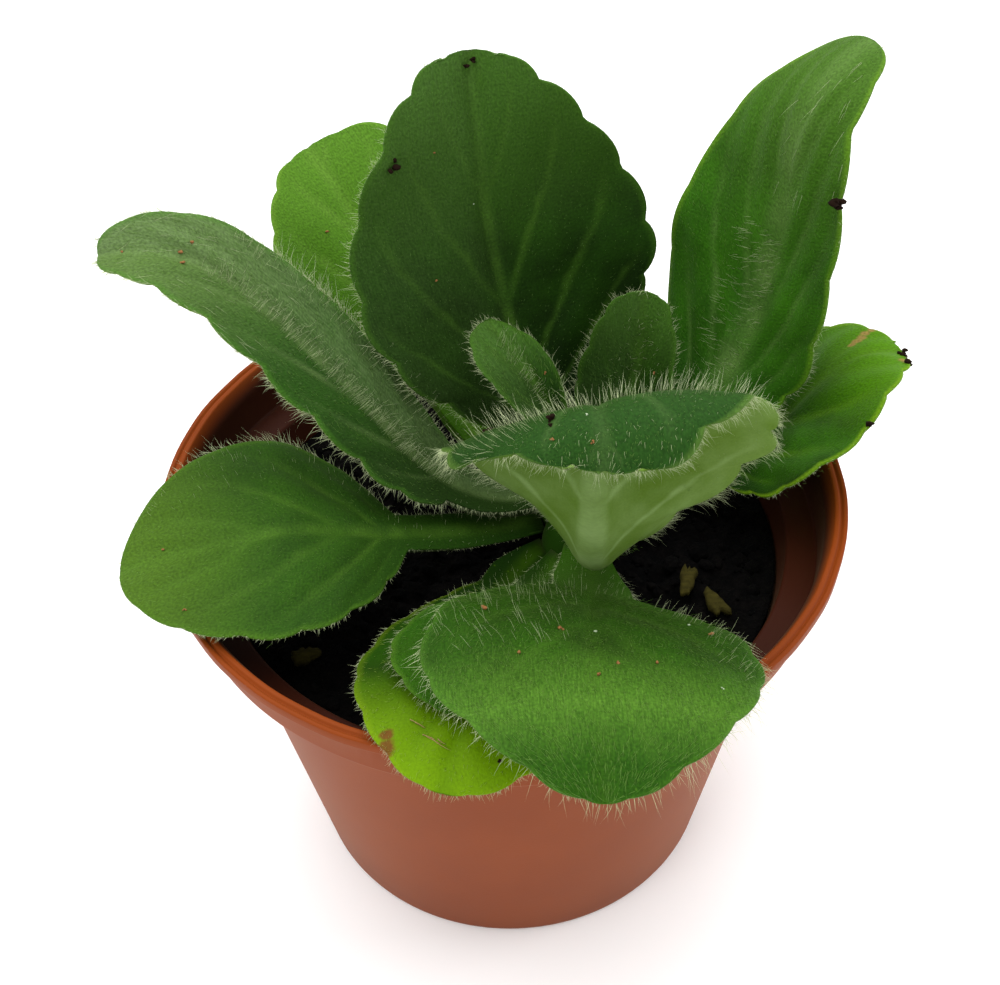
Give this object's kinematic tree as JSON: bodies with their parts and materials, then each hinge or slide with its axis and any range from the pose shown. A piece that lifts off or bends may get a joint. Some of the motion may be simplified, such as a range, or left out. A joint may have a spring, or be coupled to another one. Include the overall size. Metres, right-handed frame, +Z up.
{
  "type": "potted primulina",
  "caption": "Small hairy-leaved rosette houseplant with arching scalloped leaves, growing in a round tapered nursery pot filled with dark peat.",
  "frame": {"origin": "centre of the pot's flat underside", "axes": "+Z up along the pot's axis; seen from the front the viewer is on the -Y side and +X is to the right"},
  "size_m": [0.0682, 0.0682, 0.0761],
  "materials": {
    "terracotta_plastic": "injection-moulded polypropylene in terracotta brown, satin and a little translucent",
    "peat": null,
    "leaf_stalk": null,
    "wood_chip": "pale dry splinters of bark",
    "leaf": null,
    "leaf_ageing": null
  },
  "bodies": {
    "root": {"pot": "terracotta_plastic", "peat": "peat", "stem": "leaf_stalk", "wood_chip_front": "wood_chip", "wood_chip_left": "wood_chip", "wood_chip_right": "wood_chip", "leaf_front_yellow": "leaf_ageing", "leaf_front_mid": "leaf", "leaf_front": "leaf", "leaf_left_low": "leaf", "leaf_right_low": "leaf_ageing", "leaf_back_left": "leaf", "leaf_left_long": "leaf", "leaf_back": "leaf", "leaf_right_tall": "leaf", "leaf_middle": "leaf", "leaf_young_left": "leaf", "leaf_young_right": "leaf"}
  },
  "joints": []
}
